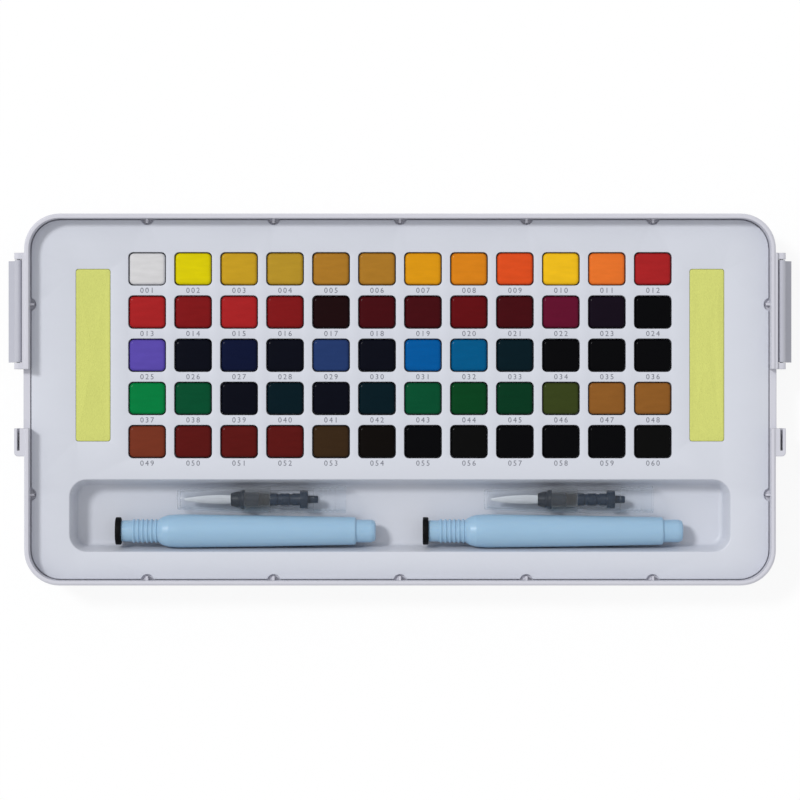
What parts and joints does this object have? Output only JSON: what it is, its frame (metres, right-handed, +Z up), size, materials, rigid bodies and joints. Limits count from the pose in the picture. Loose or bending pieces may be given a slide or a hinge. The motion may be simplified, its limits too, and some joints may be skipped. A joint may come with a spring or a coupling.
{
  "type": "watercolour paint set",
  "caption": "Shallow open plastic case with a tray of coloured paint cakes, two wiping sponges, side latches, and a trough that holds capped water brushes.",
  "frame": {"origin": "middle of the underside of the case", "axes": "+X along the case to the right, +Y from the brush trough towards the paints, +Z up"},
  "size_m": [0.3256, 0.153, 0.024],
  "materials": {
    "case_plastic": "fine satin moulded plastic",
    "tray_plastic": "smooth satin moulded plastic",
    "paint": "pressed watercolour paint with a slight sheen, a colour for each cake",
    "sponge": "fine open-cell sponge",
    "steel": "drawn steel pin",
    "barrel_plastic": "translucent light blue plastic",
    "black_plastic": "black plastic",
    "clear_plastic": "clear plastic",
    "bristle": "white nylon",
    "grey_plastic": "smoky grey plastic"
  },
  "bodies": {
    "case": {"base_case": "case_plastic", "paint_tray": "tray_plastic", "paint_row_1": "paint", "paint_row_2": "paint", "paint_row_3": "paint", "paint_row_4": "paint", "paint_row_5": "paint", "latch_pin_left": "steel", "latch_pin_right": "steel"},
    "latch_left": {"latch_left": "case_plastic"},
    "latch_right": {"latch_right": "case_plastic"},
    "sponge_left": {"sponge_left": "sponge"},
    "sponge_right": {"sponge_right": "sponge"},
    "barrel_left": {"barrel_left": "barrel_plastic"},
    "plug_left": {"plug_left": "black_plastic"},
    "head_left": {"brush_head_left": "clear_plastic", "ferrule_left": "black_plastic", "bristles_left": "bristle", "feed_left": "grey_plastic"},
    "cap_left": {"cap_left": "clear_plastic"},
    "barrel_right": {"barrel_right": "barrel_plastic"},
    "plug_right": {"plug_right": "black_plastic"},
    "head_right": {"brush_head_right": "clear_plastic", "ferrule_right": "black_plastic", "bristles_right": "bristle", "feed_right": "grey_plastic"},
    "cap_right": {"cap_right": "clear_plastic"}
  },
  "joints": [
    {"name": "latch_left_hinge", "type": "hinge", "parent": "case", "child": "latch_left", "pos_m": [-0.1573, 0.03645, 0.0206], "axis": [0, 1, 0], "range_deg": [0, 178]},
    {"name": "latch_right_hinge", "type": "hinge", "parent": "case", "child": "latch_right", "pos_m": [0.1573, 0.03645, 0.0206], "axis": [0, -1, 0], "range_deg": [0, 178]},
    {"name": "sponge_left_lift", "type": "slide", "parent": "case", "child": "sponge_left", "axis": [0, 0, 1], "range_m": [0, 0.02]},
    {"name": "sponge_right_lift", "type": "slide", "parent": "case", "child": "sponge_right", "axis": [0, 0, 1], "range_m": [0, 0.02]},
    {"name": "barrel_left_lift", "type": "slide", "parent": "case", "child": "barrel_left", "axis": [0, 0, 1], "range_m": [0, 0.03]},
    {"name": "plug_left_pull", "type": "slide", "parent": "barrel_left", "child": "plug_left", "axis": [-1, 0, 0], "range_m": [0, 0.008]},
    {"name": "head_left_lift", "type": "slide", "parent": "case", "child": "head_left", "axis": [0, 0, 1], "range_m": [0, 0.03]},
    {"name": "cap_left_pull", "type": "slide", "parent": "head_left", "child": "cap_left", "axis": [-1, 0, 0], "range_m": [0, 0.034]},
    {"name": "barrel_right_lift", "type": "slide", "parent": "case", "child": "barrel_right", "axis": [0, 0, 1], "range_m": [0, 0.03]},
    {"name": "plug_right_pull", "type": "slide", "parent": "barrel_right", "child": "plug_right", "axis": [-1, 0, 0], "range_m": [0, 0.008]},
    {"name": "head_right_lift", "type": "slide", "parent": "case", "child": "head_right", "axis": [0, 0, 1], "range_m": [0, 0.03]},
    {"name": "cap_right_pull", "type": "slide", "parent": "head_right", "child": "cap_right", "axis": [-1, 0, 0], "range_m": [0, 0.034]}
  ]
}
